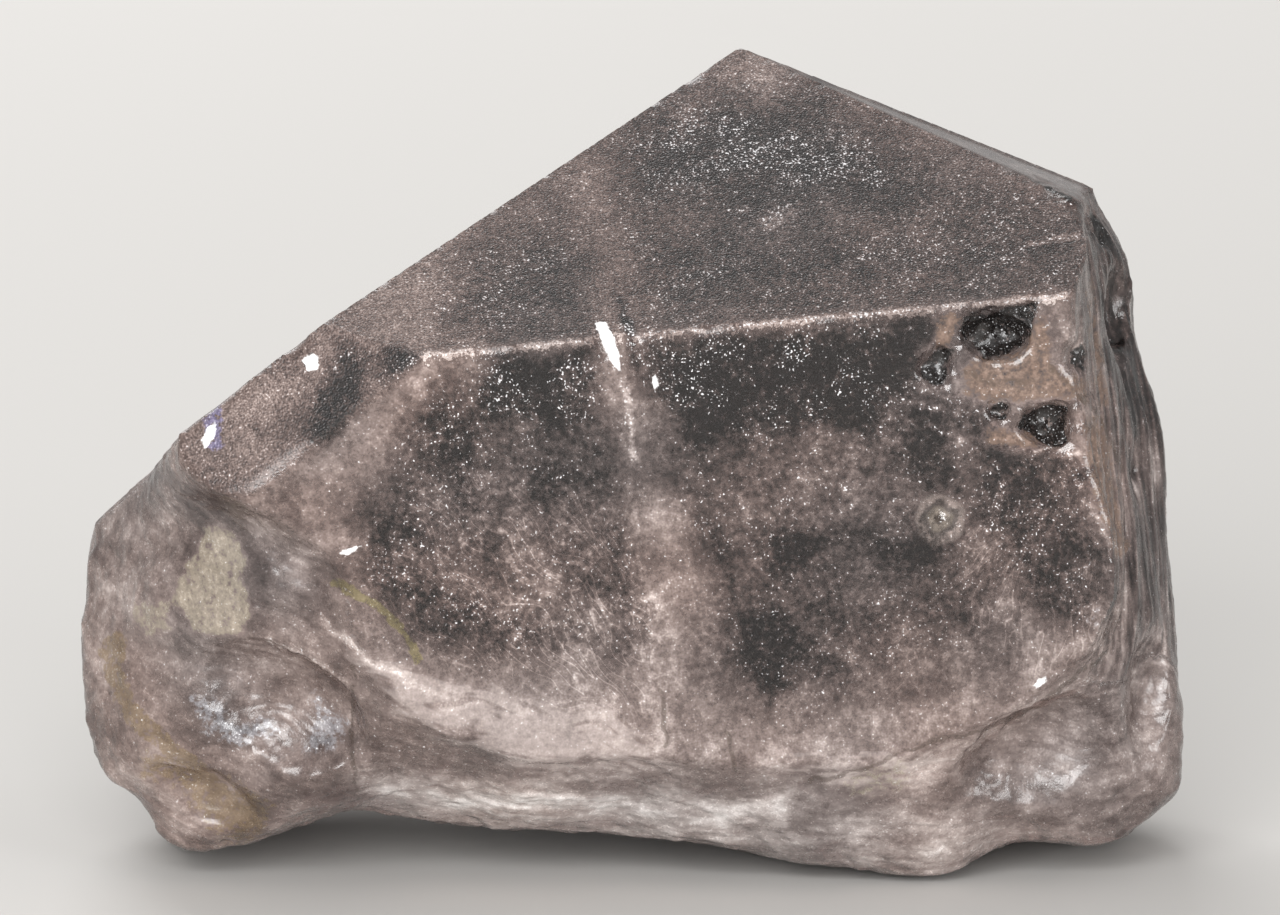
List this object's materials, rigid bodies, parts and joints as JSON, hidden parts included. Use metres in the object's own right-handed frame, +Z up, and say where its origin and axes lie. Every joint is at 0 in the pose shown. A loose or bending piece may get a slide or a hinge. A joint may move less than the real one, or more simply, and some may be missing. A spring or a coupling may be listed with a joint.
{
  "type": "morganite crystal",
  "caption": "Broken pale pink beryl crystal with flat growth faces, a frosted low point and rough broken ends, lying on its underside.",
  "frame": {"origin": "on the surface it lies on, under the middle of its bounding box", "axes": "+X along its longest extent towards the striated broken end, +Y away from the large flat front face, +Z up"},
  "size_m": [0.0598, 0.0352, 0.0435],
  "materials": {
    "morganite": "natural crystal, frosted upper face, clearer front face, satin broken surfaces"
  },
  "bodies": {
    "root": {"crystal": "morganite"}
  },
  "joints": []
}
